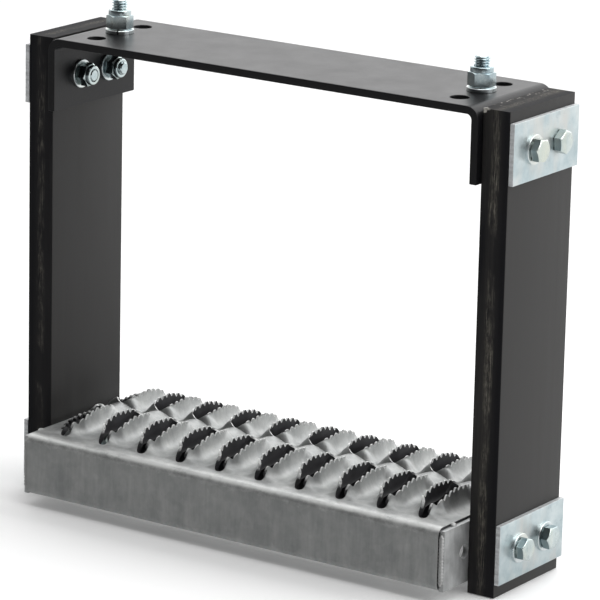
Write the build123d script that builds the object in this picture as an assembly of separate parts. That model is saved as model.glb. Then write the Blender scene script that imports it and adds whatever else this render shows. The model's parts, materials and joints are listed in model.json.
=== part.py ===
from build123d import *
import os

# Flexible tailgate step. Millimetres, +X to the right, +Y to the back, +Z up.
# The origin is the middle of the mounting bracket's top face, which bolts up under the vehicle.
# A folded channel bracket carries two flat rubber straps, and the straps carry a grip-plank tread.

# ---- driving dimensions ----
STEP_LENGTH = 304.8          # across the bracket flanges, and across the tread's end plates
CUT = 0.3                    # gap left between pieces that move against each other

BRACKET_DEPTH = 81.0
BRACKET_DROP = 45.0
BRACKET_SHEET = 4.8
BRACKET_BEND = 8.0           # outside bend radius
MOUNT_HOLE_X = 129.0         # mounting holes and studs, from the middle of the bracket
MOUNT_HOLE_Y = 23.2
MOUNT_HOLE_RADIUS = 5.55

STRAP_WIDTH = 71.0
STRAP_THICKNESS = 18.0
STRAP_TOP = -1.0
STRAP_BOTTOM = -288.0

SWING_PLANE = -52.0          # underside of the clamped strap top, where the fore and aft bend starts
SWING_NOSE_RADIUS = 6.0      # round nose of the strap neck, about the fore and aft bend axis
SWING_RELIEF = 12.0          # degrees of slope either side of that nose
SWAY_PLANE = -72.0           # underside of the strap neck, where the sideways bend starts
LOWER_BEND_AXIS = -222.0     # sideways bend axis just above the tread

TREAD_TOP = -243.0
TREAD_DEPTH = 127.0
TREAD_HEIGHT = 38.1
TREAD_SHEET = 3.0
TREAD_BEND = 4.5
TREAD_RETURN = 22.0          # inward lips along the bottom of the tread
END_PLATE_SHEET = 3.2
END_PLATE_DROP = 1.5         # how far the end plate stops below the tread's flat top
END_PLATE_INSET = 1.8        # how far it stops short of the tread's front and back faces

OPENINGS_PER_ROW = 10
OPENING_PITCH = 28.9
OPENING_LENGTH = 45.1
OPENING_WIDTH = 12.6
ROW_OFFSET = 29.3            # middle of each row of openings from the middle of the tread
LIP_SHEET = 2.6
LIP_NOSE_HEIGHT = 9.1        # lip height a sixth of the way along the opening
LIP_CROWN_HEIGHT = 13.3
LIP_TAIL_HEIGHT = 8.9        # lip height at the end that faces the tread's middle

CLAMP_WIDTH = 71.0
CLAMP_HEIGHT = 36.0
CLAMP_SHEET = 3.2
CLAMP_TOP = -7.5
STRAP_BOLT_Y = 14.0          # strap bolts either side of the strap's middle
SPARE_HOLE_Y = 40.5          # unused holes further out in the end plates
BOLT_HOLE_RADIUS = 4.35

STRAP_BOLT_LENGTH = 38.1
MOUNT_BOLT_LENGTH = 25.4
THREAD_RELIEF = 0.07         # plain shank, this much under the thread
RUNNING_GAP = 0.05           # radial gap of nuts and inserts around a bolt
WASHER_RADIUS = 8.75
WASHER_BORE = 4.3
WASHER_SHEET = 1.6
LOCK_WASHER_RADIUS = 8.65
LOCK_WASHER_BORE = 5.0
LOCK_WASHER_HEIGHT = 2.4
LOCK_WASHER_SPLIT = 1.0

# Hex hardware: bolt radius, width over flats, head height, nut's hex and full height,
# nut collar radius, nylon insert radius and height.
STRAP_HARDWARE = {
    "bolt": 3.97, "flats": 12.7, "head": 5.4, "hex": 6.4, "nut": 8.7,
    "collar": 6.0, "insert": 5.0, "insert_height": 2.2,
}
MOUNT_HARDWARE = {
    "bolt": 4.76, "flats": 14.3, "head": 6.0, "hex": 9.0, "nut": 12.1,
    "collar": 6.8, "insert": 5.9, "insert_height": 2.9,
}

# ---- worked out from them ----
HALF_LENGTH = STEP_LENGTH / 2
STRAP_MIDDLE_X = HALF_LENGTH + STRAP_THICKNESS / 2
STRAP_OUTER_X = HALF_LENGTH + STRAP_THICKNESS
CLAMP_OUTER_X = STRAP_OUTER_X + CLAMP_SHEET
UPPER_BOLT_Z = CLAMP_TOP - CLAMP_HEIGHT / 2
LOWER_BOLT_Z = TREAD_TOP - TREAD_HEIGHT / 2
SWING_AXIS = SWING_PLANE - CUT - SWING_NOSE_RADIUS
SWAY_AXIS = SWAY_PLANE - CUT - STRAP_THICKNESS / 2
FOOT_TOP = LOWER_BEND_AXIS - STRAP_THICKNESS / 2 - CUT
TREAD_BOTTOM = TREAD_TOP - TREAD_HEIGHT
PLANK_END_X = HALF_LENGTH - END_PLATE_SHEET
SIDES = {"left": -1, "right": 1}


def block(x_low, x_high, y_low, y_high, z_low, z_high):
    """A rectangular block between two corners."""
    size = (x_high - x_low, y_high - y_low, z_high - z_low)
    middle = Pos((x_low + x_high) / 2, (y_low + y_high) / 2, (z_low + z_high) / 2)
    return middle * Box(*size)


def rod(radius, x_low, x_high, y, z):
    """A round bar along X."""
    return Pos((x_low + x_high) / 2, y, z) * Rot(0, 90, 0) * Cylinder(radius, x_high - x_low)


def post(radius, x, y, z_low, z_high):
    """A round bar along Z."""
    return Pos(x, y, (z_low + z_high) / 2) * Cylinder(radius, z_high - z_low)


def on_side(side, piece):
    """Mirrors a piece modelled on the right-hand side when it is wanted on the left."""
    return piece if side > 0 else mirror(piece, about=Plane.YZ)


# ---- fasteners, modelled upright on Z with the bearing face at zero ----
def hexagon(flats, height, clocking):
    """A hexagonal prism with its corners turned away at the top."""
    prism = Rot(0, 0, clocking) * extrude(RegularPolygon(flats / 2, 6, major_radius=False), height)
    corner = flats / 2 / 0.866
    turned = extrude(Circle(corner), height)
    turned = chamfer(turned.edges().sort_by(Axis.Z)[-1], 0.45 * (corner - flats / 2) + 0.3)
    return prism & turned


def bolt(hardware, length, clocking, shank=0.0):
    """A hex bolt: head below zero, an optional plain shank, then thread to its full length."""
    head = mirror(hexagon(hardware["flats"], hardware["head"], clocking), about=Plane.XY)
    thread = Pos(0, 0, (length + shank) / 2) * Cylinder(hardware["bolt"], length - shank)
    thread = chamfer(thread.edges().sort_by(Axis.Z)[-1], 0.6)
    if shank:
        thread += Pos(0, 0, shank / 2) * Cylinder(hardware["bolt"] - THREAD_RELIEF, shank)
    return head + thread


def lock_nut(hardware, clocking):
    """A hex nut with the round collar that holds its nylon insert."""
    height = hardware["nut"]
    body = hexagon(hardware["flats"], hardware["hex"], clocking)
    body += Pos(0, 0, height / 2) * Cylinder(hardware["collar"], height)
    body = fillet(body.edges().filter_by(GeomType.CIRCLE).sort_by(Axis.Z)[-1], 0.6)
    ring_height = hardware["insert_height"]
    body -= Pos(0, 0, height - ring_height / 2) * Cylinder(hardware["insert"], ring_height)
    return body - Pos(0, 0, height / 2) * Cylinder(hardware["bolt"] + RUNNING_GAP, height)


def nylon_insert(hardware):
    """The ring that grips the thread, sitting in the nut's collar."""
    height = hardware["insert_height"]
    ring = Cylinder(hardware["insert"] - RUNNING_GAP, height)
    ring -= Cylinder(hardware["bolt"] + RUNNING_GAP, height)
    return Pos(0, 0, hardware["nut"] - height / 2) * ring


def flat_washer():
    ring = Cylinder(WASHER_RADIUS, WASHER_SHEET) - Cylinder(WASHER_BORE, WASHER_SHEET)
    return Pos(0, 0, WASHER_SHEET / 2) * ring


def lock_washer(clocking):
    """A heavy split spring washer, flattened by the nut."""
    ring = Cylinder(LOCK_WASHER_RADIUS, LOCK_WASHER_HEIGHT) - Cylinder(LOCK_WASHER_BORE, LOCK_WASHER_HEIGHT)
    split = Rot(0, 0, clocking) * Pos(LOCK_WASHER_RADIUS, 0, 0) * Box(
        2 * LOCK_WASHER_RADIUS, LOCK_WASHER_SPLIT, 2 * LOCK_WASHER_HEIGHT)
    return Pos(0, 0, LOCK_WASHER_HEIGHT / 2) * (ring - split)


# ---- black channel bracket ----
def mounting_bracket():
    """A plate folded into an inverted channel, flanges down, with three holes at each end."""
    outer = block(-HALF_LENGTH, HALF_LENGTH, -BRACKET_DEPTH / 2, BRACKET_DEPTH / 2, -BRACKET_DROP, 0)
    outer = fillet(outer.edges().filter_by(Axis.Y).group_by(Axis.Z)[-1], BRACKET_BEND)
    inner_x = HALF_LENGTH - BRACKET_SHEET
    inner = block(-inner_x, inner_x, -BRACKET_DEPTH, BRACKET_DEPTH, -2 * BRACKET_DROP, -BRACKET_SHEET)
    inner = fillet(inner.edges().filter_by(Axis.Y).group_by(Axis.Z)[-1], BRACKET_BEND - BRACKET_SHEET)
    body = outer - inner
    for x in (-MOUNT_HOLE_X, MOUNT_HOLE_X):
        for y in (-MOUNT_HOLE_Y, 0, MOUNT_HOLE_Y):
            body -= post(MOUNT_HOLE_RADIUS, x, y, -BRACKET_DROP, 5)
    for y in (-STRAP_BOLT_Y, STRAP_BOLT_Y):
        body -= rod(BOLT_HOLE_RADIUS, -STEP_LENGTH, STEP_LENGTH, y, UPPER_BOLT_Z)
    return body


# ---- rubber straps, each cut where it bends ----
def strap_block(z_low, z_high):
    half_width = STRAP_WIDTH / 2
    return block(HALF_LENGTH, STRAP_OUTER_X, -half_width, half_width, z_low, z_high)


def clamped_strap(z_low, z_high, bolt_z):
    """A length of strap with its two bolt holes."""
    piece = strap_block(z_low, z_high)
    for y in (-STRAP_BOLT_Y, STRAP_BOLT_Y):
        piece -= rod(BOLT_HOLE_RADIUS, 0, STEP_LENGTH, y, bolt_z)
    return piece


def strap_neck():
    """Short strap length that rocks fore and aft: a round nose on top, with a sloping shoulder each side."""
    neck = strap_block(SWAY_PLANE, SWING_AXIS + SWING_NOSE_RADIUS)
    above = block(0, STEP_LENGTH, 0, STRAP_WIDTH, SWING_NOSE_RADIUS, 60)
    above = Pos(0, 0, SWING_AXIS) * Rot(-SWING_RELIEF, 0, 0) * above
    neck = neck - above - mirror(above, about=Plane.XZ)
    ridge_y = SWING_NOSE_RADIUS * 0.2
    ridge = block(0, STEP_LENGTH, -ridge_y, ridge_y, SWING_AXIS, SWING_AXIS + 2 * SWING_NOSE_RADIUS)
    return neck - ridge + (rod(SWING_NOSE_RADIUS, HALF_LENGTH, STRAP_OUTER_X, 0, SWING_AXIS) & ridge)


def strap_span():
    """The free length of strap between bracket and tread, round at both sideways bend axes."""
    half_width = STRAP_WIDTH / 2
    body = strap_block(LOWER_BEND_AXIS, SWAY_AXIS)
    for z in (LOWER_BEND_AXIS, SWAY_AXIS):
        body += Pos(STRAP_MIDDLE_X, 0, z) * Rot(90, 0, 0) * Cylinder(STRAP_THICKNESS / 2, 2 * half_width)
    return body


# ---- galvanised grip-plank tread ----
def lip(row):
    """One raised edge of an opening, standing on the tread's top, seen along X."""
    tail = -row * (OPENING_LENGTH / 2)
    nose = row * (OPENING_LENGTH / 2)
    sixth = OPENING_LENGTH / 6
    crown_start = tail + row * sixth
    crown_end = nose - row * 2 * sixth
    with BuildSketch(Plane.YZ) as outline:
        with BuildLine():
            Polyline((tail, 0), (tail, LIP_TAIL_HEIGHT), (crown_start, LIP_CROWN_HEIGHT))
            Line((crown_start, LIP_CROWN_HEIGHT), (crown_end, LIP_CROWN_HEIGHT))
            Polyline((crown_end, LIP_CROWN_HEIGHT), (nose - row * sixth, LIP_NOSE_HEIGHT), (nose, 0))
            Line((nose, 0), (tail, 0))
        make_face()
    return extrude(outline.sketch, LIP_SHEET / 2, both=True)


def tread_plank():
    """One sheet folded into a channel, its top pierced by two rows of openings with raised lips."""
    half_depth = TREAD_DEPTH / 2
    outer = block(-PLANK_END_X, PLANK_END_X, -half_depth, half_depth, TREAD_BOTTOM, TREAD_TOP)
    outer = fillet(outer.edges().filter_by(Axis.X), TREAD_BEND)
    inner_y = half_depth - TREAD_SHEET
    floor_z = TREAD_BOTTOM + TREAD_SHEET
    inner = block(-STEP_LENGTH, STEP_LENGTH, -inner_y, inner_y, floor_z, TREAD_TOP - TREAD_SHEET)
    inner = fillet(inner.edges().filter_by(Axis.X), TREAD_BEND - TREAD_SHEET)
    mouth_y = half_depth - TREAD_RETURN
    mouth = block(-STEP_LENGTH, STEP_LENGTH, -mouth_y, mouth_y, TREAD_BOTTOM - 5, floor_z + TREAD_SHEET)
    body = outer - inner - mouth
    slot_outline = Rot(0, 0, 90) * SlotOverall(OPENING_LENGTH, OPENING_WIDTH)
    lips = []
    slots = []
    for column in range(OPENINGS_PER_ROW):
        x = (column - (OPENINGS_PER_ROW - 1) / 2) * OPENING_PITCH
        for row in (-1, 1):
            slot = extrude(slot_outline, 2 * TREAD_SHEET, both=True)
            slots.append(Pos(x, row * ROW_OFFSET, TREAD_TOP) * slot)
            for edge in (-1, 1):
                lip_x = x + edge * (OPENING_WIDTH + LIP_SHEET) / 2
                lips.append(Pos(lip_x, row * ROW_OFFSET, TREAD_TOP) * lip(row))
    return body - slots + lips


def end_plate():
    """The plate that closes the tread's end and takes the strap bolts."""
    half_width = TREAD_DEPTH / 2 - END_PLATE_INSET
    body = block(PLANK_END_X, HALF_LENGTH, -half_width, half_width, TREAD_BOTTOM, TREAD_TOP - END_PLATE_DROP)
    for y in (STRAP_BOLT_Y, SPARE_HOLE_Y):
        for turn in (-1, 1):
            body -= rod(BOLT_HOLE_RADIUS, 0, STEP_LENGTH, turn * y, LOWER_BOLT_Z)
    return body


def end_welds(plank, plate):
    """Weld beads up the two corners, and a tack behind each on the end plate's top edge."""
    bead_y = TREAD_DEPTH / 2 - END_PLATE_INSET
    beads = []
    for turn in (-1, 1):
        bead = post(1.7, HALF_LENGTH - 2.2, turn * bead_y, TREAD_BOTTOM + 3, TREAD_TOP - 4)
        beads.append(fillet(bead.edges(), 1.2))
        beads.append(Pos(HALF_LENGTH - 3.0, turn * (bead_y - 13), TREAD_TOP - 1.6) * Sphere(2.2))
    standing = [bead - plank - plate for bead in beads]
    return [bead.solids().sort_by(SortBy.VOLUME)[-1] for bead in standing]


# ---- clamp plates and the fasteners through the straps ----
def clamp_plate(bolt_z):
    """A square-edged plate that spreads the bolts' load over the strap."""
    half_width = CLAMP_WIDTH / 2
    low_z = bolt_z - CLAMP_HEIGHT / 2
    body = block(STRAP_OUTER_X, CLAMP_OUTER_X, -half_width, half_width, low_z, low_z + CLAMP_HEIGHT)
    body = fillet(body.edges().filter_by(Axis.X), 1.0)
    for y in (-STRAP_BOLT_Y, STRAP_BOLT_Y):
        body -= rod(BOLT_HOLE_RADIUS, 0, STEP_LENGTH, y, bolt_z)
    return body


def strap_joint(bolt_z, inner_x, washered, clockings):
    """Two bolts from outside through clamp plate, strap and metal, with washers and lock nuts inside."""
    joint = {"bolts": [], "head_washers": [], "nut_washers": [], "lock_nuts": [], "nylon_inserts": []}
    for y, has_washer, clocking in zip((-STRAP_BOLT_Y, STRAP_BOLT_Y), washered, clockings):
        outward = Pos(CLAMP_OUTER_X, y, bolt_z) * Rot(0, 90, 0)
        inward = Pos(inner_x, y, bolt_z) * Rot(0, -90, 0)
        lift = WASHER_SHEET if has_washer else 0
        joint["bolts"].append(Pos(lift, 0, 0) * Pos(CLAMP_OUTER_X, y, bolt_z) * Rot(0, -90, 0)
                              * bolt(STRAP_HARDWARE, STRAP_BOLT_LENGTH, clocking))
        if has_washer:
            joint["head_washers"].append(outward * flat_washer())
        joint["nut_washers"].append(inward * flat_washer())
        seated = inward * Pos(0, 0, WASHER_SHEET)
        joint["lock_nuts"].append(seated * lock_nut(STRAP_HARDWARE, clocking + 17))
        joint["nylon_inserts"].append(seated * nylon_insert(STRAP_HARDWARE))
    return joint


def mounting_fasteners():
    """Upright bolts through the bracket's middle holes, each with a split washer and a lock nut."""
    names = ("mounting_bolts", "mounting_lock_washers", "mounting_nuts", "mounting_nylon_inserts")
    group = {name: [] for name in names}
    shank = BRACKET_SHEET + LOCK_WASHER_HEIGHT
    for x, nut_clocking, split_clocking in ((-MOUNT_HOLE_X, 5, -62), (MOUNT_HOLE_X, 2, 120)):
        seat = Pos(x, 0, LOCK_WASHER_HEIGHT)
        upright = bolt(MOUNT_HARDWARE, MOUNT_BOLT_LENGTH, nut_clocking, shank)
        group["mounting_bolts"].append(Pos(x, 0, -BRACKET_SHEET) * upright)
        group["mounting_lock_washers"].append(Pos(x, 0, 0) * lock_washer(split_clocking))
        group["mounting_nuts"].append(seat * lock_nut(MOUNT_HARDWARE, nut_clocking))
        group["mounting_nylon_inserts"].append(seat * nylon_insert(MOUNT_HARDWARE))
    return group


# ---- the assembly ----
plank = tread_plank()
plate = end_plate()
welds = end_welds(plank, plate)
nodes = {"mounting_bracket": [mounting_bracket()], "tread_plank": [plank]}
nodes.update(mounting_fasteners())

for side_name, side in SIDES.items():
    strap_parts = {
        "strap_top": clamped_strap(SWING_PLANE, STRAP_TOP, UPPER_BOLT_Z),
        "strap_neck": strap_neck(),
        "strap_span": strap_span(),
        "strap_foot": clamped_strap(STRAP_BOTTOM, FOOT_TOP, LOWER_BOLT_Z),
        "upper_clamp_plate": clamp_plate(UPPER_BOLT_Z),
        "lower_clamp_plate": clamp_plate(LOWER_BOLT_Z),
        "end_plate": plate,
    }
    for name, piece in strap_parts.items():
        nodes[f"{side_name}_{name}"] = [on_side(side, piece)]
    nodes[f"{side_name}_end_welds"] = [on_side(side, bead) for bead in welds]
    joints = {
        "upper": strap_joint(UPPER_BOLT_Z, HALF_LENGTH - BRACKET_SHEET, (True, False), (8, 24)),
        "lower": strap_joint(LOWER_BOLT_Z, PLANK_END_X, (True, True), (20, 2)),
    }
    for level, joint in joints.items():
        for name, solids in joint.items():
            nodes[f"{side_name}_{level}_{name}"] = [on_side(side, solid) for solid in solids]

os.makedirs("parts", exist_ok=True)
for name, pieces in nodes.items():
    solids = [solid for piece in pieces for solid in piece.solids()]
    shape = solids[0] if len(solids) == 1 else Compound(children=solids)
    export_step(shape, f"parts/{name}.step")
print(len(nodes), "nodes")
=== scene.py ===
import bmesh
import bpy
import json
import math
from mathutils import Matrix, Vector


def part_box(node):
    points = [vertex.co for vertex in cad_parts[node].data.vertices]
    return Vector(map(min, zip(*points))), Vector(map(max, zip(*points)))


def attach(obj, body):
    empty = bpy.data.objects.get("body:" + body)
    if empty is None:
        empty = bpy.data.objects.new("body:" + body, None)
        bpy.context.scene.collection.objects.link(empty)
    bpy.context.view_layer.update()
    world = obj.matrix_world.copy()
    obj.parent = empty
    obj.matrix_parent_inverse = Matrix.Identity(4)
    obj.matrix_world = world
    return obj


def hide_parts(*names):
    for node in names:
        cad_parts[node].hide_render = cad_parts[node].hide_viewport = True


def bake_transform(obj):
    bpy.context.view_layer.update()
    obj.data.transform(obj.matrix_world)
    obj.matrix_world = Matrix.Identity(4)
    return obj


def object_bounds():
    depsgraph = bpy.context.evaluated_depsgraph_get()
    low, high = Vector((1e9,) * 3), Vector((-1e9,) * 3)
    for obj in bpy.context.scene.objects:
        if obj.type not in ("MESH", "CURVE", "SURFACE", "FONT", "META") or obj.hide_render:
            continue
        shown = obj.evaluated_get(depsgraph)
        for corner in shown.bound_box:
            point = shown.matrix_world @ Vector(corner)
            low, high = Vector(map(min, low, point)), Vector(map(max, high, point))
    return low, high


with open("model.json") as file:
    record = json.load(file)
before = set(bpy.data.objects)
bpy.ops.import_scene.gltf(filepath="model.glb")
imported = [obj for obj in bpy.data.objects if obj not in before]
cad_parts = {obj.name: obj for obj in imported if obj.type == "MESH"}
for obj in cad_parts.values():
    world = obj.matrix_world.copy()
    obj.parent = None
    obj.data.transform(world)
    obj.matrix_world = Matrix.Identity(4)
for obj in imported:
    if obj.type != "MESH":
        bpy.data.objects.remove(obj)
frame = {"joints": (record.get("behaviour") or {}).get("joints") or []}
cad_low, cad_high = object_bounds()

MM = 0.001
SIDES = {"left": -1, "right": 1}
SAME_PLACE = 1e-6  # points nearer than this are one point
NO_LENGTH = 1e-7  # edges shorter than this are dropped
SHARP_DEGREES = 32  # edges that turn more than this are shaded sharp
BEVEL_DEGREES = 40  # and edges that turn more than this are rounded off
SIDEWAYS = 0.7  # a face whose normal has this much X looks left or right

# ---- what the frame says ----
bracket_low, bracket_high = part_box("mounting_bracket")
plank_low, plank_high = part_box("tread_plank")
span_low, span_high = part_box("right_strap_span")
strap_top_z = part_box("right_strap_top")[1].z
strap_foot_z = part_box("right_strap_foot")[0].z
joints = {joint["name"]: joint for joint in frame["joints"]}
TREAD_HEIGHT = 38.1 * MM
TOP = plank_low.z + TREAD_HEIGHT  # the flat of the tread


# ---- Mesh tools. A shape is (points, faces), built on Z and then placed. ----
def placed(shape, matrix):
    """The same shape, moved."""
    points, faces = shape
    return [matrix @ Vector(point) for point in points], faces


def joined(shapes):
    """Several shapes as one."""
    points = []
    faces = []
    for some_points, some_faces in shapes:
        first = len(points)
        points += some_points
        faces += [tuple(first + index for index in face) for face in some_faces]
    return points, faces


def spun(profile, segments=48, closed=False):
    """Turns a profile about Z. profile(angle) gives (radius, height) pairs, always equally many."""
    rings = [profile(2 * math.pi * step / segments) for step in range(segments)]
    count = len(rings[0])
    points = []
    for step, ring in enumerate(rings):
        angle = 2 * math.pi * step / segments
        points += [Vector((r * math.cos(angle), r * math.sin(angle), z)) for r, z in ring]
    faces = []
    for step in range(segments):
        here = step * count
        there = (step + 1) % segments * count
        for index in range(count if closed else count - 1):
            after = (index + 1) % count
            faces.append((here + index, there + index, there + after, here + after))
    return points, faces


def piece_from(name, shape, material, sharp_degrees=SHARP_DEGREES):
    """A finished object: clean mesh, outward normals, smooth except at sharp edges."""
    mesh = bpy.data.meshes.new(name)
    mesh.from_pydata(shape[0], [], shape[1])
    work = bmesh.new()
    work.from_mesh(mesh)
    bmesh.ops.remove_doubles(work, verts=work.verts, dist=SAME_PLACE)
    bmesh.ops.dissolve_degenerate(work, edges=work.edges, dist=NO_LENGTH)
    bmesh.ops.recalc_face_normals(work, faces=work.faces)
    work.to_mesh(mesh)
    work.free()
    mesh.materials.append(material)
    shade(mesh, sharp_degrees)
    piece = bpy.data.objects.new(name, mesh)
    bpy.context.scene.collection.objects.link(piece)
    return piece


def shade(mesh, sharp_degrees):
    mesh.polygons.foreach_set("use_smooth", [True] * len(mesh.polygons))
    mesh.set_sharp_from_angle(angle=math.radians(sharp_degrees))


def settle(piece, sharp_degrees=SHARP_DEGREES):
    """Turns a piece's modifiers into its mesh. With None, its sharp edges and normals are left alone."""
    evaluated = piece.evaluated_get(bpy.context.evaluated_depsgraph_get())
    mesh = bpy.data.meshes.new_from_object(evaluated)
    piece.modifiers.clear()
    piece.data = mesh
    if sharp_degrees:
        shade(mesh, sharp_degrees)


def cut(piece, cutter_shapes):
    """Takes shapes out of a piece."""
    cutter = piece_from("cutter", joined(cutter_shapes), piece.data.materials[0])
    boolean = piece.modifiers.new("holes", "BOOLEAN")
    boolean.operation = "DIFFERENCE"
    boolean.solver = "EXACT"
    boolean.object = cutter
    settle(piece)
    bpy.data.objects.remove(cutter)


def soften(piece, width):
    """Rounds off a piece's sharp edges and keeps its flat faces shaded flat."""
    bevel = piece.modifiers.new("edges", "BEVEL")
    bevel.width = width
    bevel.segments = 2
    bevel.limit_method = "ANGLE"
    bevel.angle_limit = math.radians(BEVEL_DEGREES)
    bevel.use_clamp_overlap = True
    settle(piece)
    flat = piece.modifiers.new("flat faces", "WEIGHTED_NORMAL")
    flat.keep_sharp = True
    settle(piece, None)


def box_shape(low, high):
    xs, ys, zs = zip(low, high)
    points = [Vector((x, y, z)) for x in xs for y in ys for z in zs]
    faces = [(0, 1, 3, 2), (4, 6, 7, 5), (0, 4, 5, 1), (2, 3, 7, 6), (0, 2, 6, 4), (1, 5, 7, 3)]
    return points, faces


def drum(radius, low, high, segments=48):
    """A plain round bar along Z, for cutting holes."""
    return spun(lambda angle: [(0, low), (radius, low), (radius, high), (0, high)], segments)


def tube_faces(count, steps):
    """The faces of a tube of steps + 1 rings, each of count points, closed at both ends."""
    faces = [tuple(range(count)), tuple(reversed(range(steps * count, (steps + 1) * count)))]
    for here in range(0, steps * count, count):
        for index in range(count):
            after = (index + 1) % count
            faces.append((here + index, here + after, here + count + after, here + count + index))
    return faces


def extruded(outline, low, high):
    """An outline of (x, z) pairs carried along Y."""
    points = [Vector((x, y, z)) for y in (low, high) for x, z in outline]
    return points, tube_faces(len(outline), 1)


def arc(centre, radius, start, end, steps):
    """Points along an arc, angles in degrees."""
    result = []
    for step in range(steps + 1):
        angle = math.radians(start + (end - start) * step / steps)
        result.append((centre[0] + radius * math.cos(angle), centre[1] + radius * math.sin(angle)))
    return result


def stands_for(piece, body, node):
    """A rigid piece rides on its body and stands for one CAD node."""
    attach(piece, body)
    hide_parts(node)


def finish_edges(piece, material):
    """Gives the faces that look neither left nor right a second material."""
    piece.data.materials.append(material)
    for polygon in piece.data.polygons:
        if abs(polygon.normal.x) < SIDEWAYS:
            polygon.material_index = 1


def smoothstep(value):
    value = min(max(value, 0.0), 1.0)
    return value * value * (3 - 2 * value)


def between(points, value):
    """A smooth value between (place, height) points."""
    for (x0, y0), (x1, y1) in zip(points, points[1:]):
        if value <= x1:
            return y0 + (y1 - y0) * smoothstep((value - x0) / (x1 - x0))
    return points[-1][1]


# ---- Materials ----
class Nodes:
    """The nodes of a material or a world, under construction."""

    def __init__(self, owner):
        owner.use_nodes = True
        self.tree = owner.node_tree

    def add(self, kind, inputs=None, **settings):
        node = self.tree.nodes.new(kind)
        for key, value in settings.items():
            setattr(node, key, value)
        for key, value in (inputs or {}).items():
            self.feed(node.inputs[key], value)
        return node

    def feed(self, socket, value):
        if isinstance(value, bpy.types.NodeSocket):
            self.tree.links.new(value, socket)
        else:
            socket.default_value = value

    def ramp(self, value, low, high, to_low=0.0, to_high=1.0):
        inputs = {"Value": value, "From Min": low, "From Max": high, "To Min": to_low, "To Max": to_high}
        return self.add("ShaderNodeMapRange", inputs, clamp=True).outputs[0]

    def vector(self, operation, first, second):
        """A vector operation whose result is one number."""
        return self.add("ShaderNodeVectorMath", {0: first, 1: second}, operation=operation).outputs["Value"]

    def mixed(self, kind, first, second):
        """The first shader, or the second for one kind of ray."""
        chosen = self.add("ShaderNodeLightPath").outputs[kind]
        return self.add("ShaderNodeMixShader", {0: chosen, 1: first, 2: second}).outputs[0]


class Surface(Nodes):
    """A material in metres of its object's own space."""

    def __init__(self, name):
        self.material = bpy.data.materials.new(name)
        super().__init__(self.material)
        self.shader = self.tree.nodes["Principled BSDF"]
        self.place = self.add("ShaderNodeTexCoord").outputs["Object"]

    def scaled(self, place, scale):
        return self.add("ShaderNodeMapping", {"Vector": place, "Scale": scale}).outputs[0]

    def stretched(self, scale):
        return self.scaled(self.place, scale)

    def rest_place(self):
        """Where this point of a strap lies while the strap hangs straight."""
        return self.add("ShaderNodeAttribute", attribute_name="rest_place").outputs["Vector"]

    def noise(self, scale, detail=4.0, roughness=0.55, where=None):
        inputs = {"Vector": where or self.place, "Scale": scale, "Detail": detail, "Roughness": roughness}
        return self.add("ShaderNodeTexNoise", inputs).outputs["Fac"]

    def cells(self, scale, output="Distance", where=None):
        inputs = {"Vector": where or self.place, "Scale": scale}
        return self.add("ShaderNodeTexVoronoi", inputs).outputs[output]

    def math(self, operation, *values):
        return self.add("ShaderNodeMath", dict(enumerate(values)), operation=operation).outputs[0]

    def product(self, *values):
        result = values[0]
        for value in values[1:]:
            result = self.math("MULTIPLY", result, value)
        return result

    def colour(self, value, stops):
        """A colour for each value. stops are (place, (r, g, b))."""
        node = self.add("ShaderNodeValToRGB", {"Fac": value})
        ramp = node.color_ramp
        while len(ramp.elements) < len(stops):
            ramp.elements.new(0.5)
        for element, (place, colour) in zip(ramp.elements, stops):
            element.position = place
            element.color = (*colour, 1)
        return node.outputs["Color"]

    def mix(self, share, first, second):
        node = self.add("ShaderNodeMix", data_type="RGBA")
        self.feed(node.inputs["Factor"], share)
        for name, value in (("A", first), ("B", second)):
            socket = [entry for entry in node.inputs if entry.name == name and entry.type == "RGBA"][0]
            self.feed(socket, value if isinstance(value, bpy.types.NodeSocket) else (*value, 1))
        return [entry for entry in node.outputs if entry.type == "RGBA"][0]

    def parts(self, vector):
        return self.add("ShaderNodeSeparateXYZ", {"Vector": vector}).outputs

    def bump(self, height, distance, strength=1.0, normal=None):
        inputs = {"Height": height, "Distance": distance, "Strength": strength}
        if normal:
            inputs["Normal"] = normal
        return self.add("ShaderNodeBump", inputs).outputs[0]

    def set(self, **inputs):
        """Sets the shader's inputs and gives the material."""
        names = {"color": "Base Color", "ior": "IOR", "specular": "Specular IOR Level"}
        for key, value in inputs.items():
            name = names.get(key, key.capitalize())
            self.feed(self.shader.inputs[name], (*value, 1) if isinstance(value, tuple) else value)
        return self.material


def powder_coat():
    """Semi-gloss black powder coat: fine orange peel, faint scuffs and a few pale specks."""
    s = Surface("black_powder_coat")
    scuffs = s.noise(40, 6, 0.6)
    specks = s.ramp(s.cells(260), 0.09, 0.04)
    sparse = s.ramp(s.noise(60, 2), 0.62, 0.70)
    color = s.mix(s.product(specks, sparse), (0.005, 0.005, 0.006), (0.25, 0.25, 0.24))
    peel = s.bump(s.noise(900, 2), 0.00006)
    return s.set(color=color, roughness=s.ramp(scuffs, 0.3, 0.7, 0.34, 0.40), normal=peel, ior=1.38)


def strap_rubber():
    """Charcoal belting: a satin face with faint long streaks."""
    s = Surface("strap_rubber")
    rest = s.rest_place()
    streaks = s.noise(160, 5, 0.6, s.scaled(rest, (1, 1, 0.06)))
    blotches = s.noise(14, 4, 0.6, rest)
    face = s.mix(s.ramp(streaks, 0.35, 0.7), (0.011, 0.0105, 0.010), (0.025, 0.024, 0.023))
    color = s.mix(s.ramp(blotches, 0.3, 0.7, 0.0, 0.5), face, (0.018, 0.0175, 0.017))
    grain = s.noise(1100, 3, 0.6, rest)
    return s.set(color=color, roughness=s.ramp(streaks, 0.3, 0.7, 0.46, 0.60),
                 normal=s.bump(grain, 0.00012, 0.5), specular=0.44)


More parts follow.
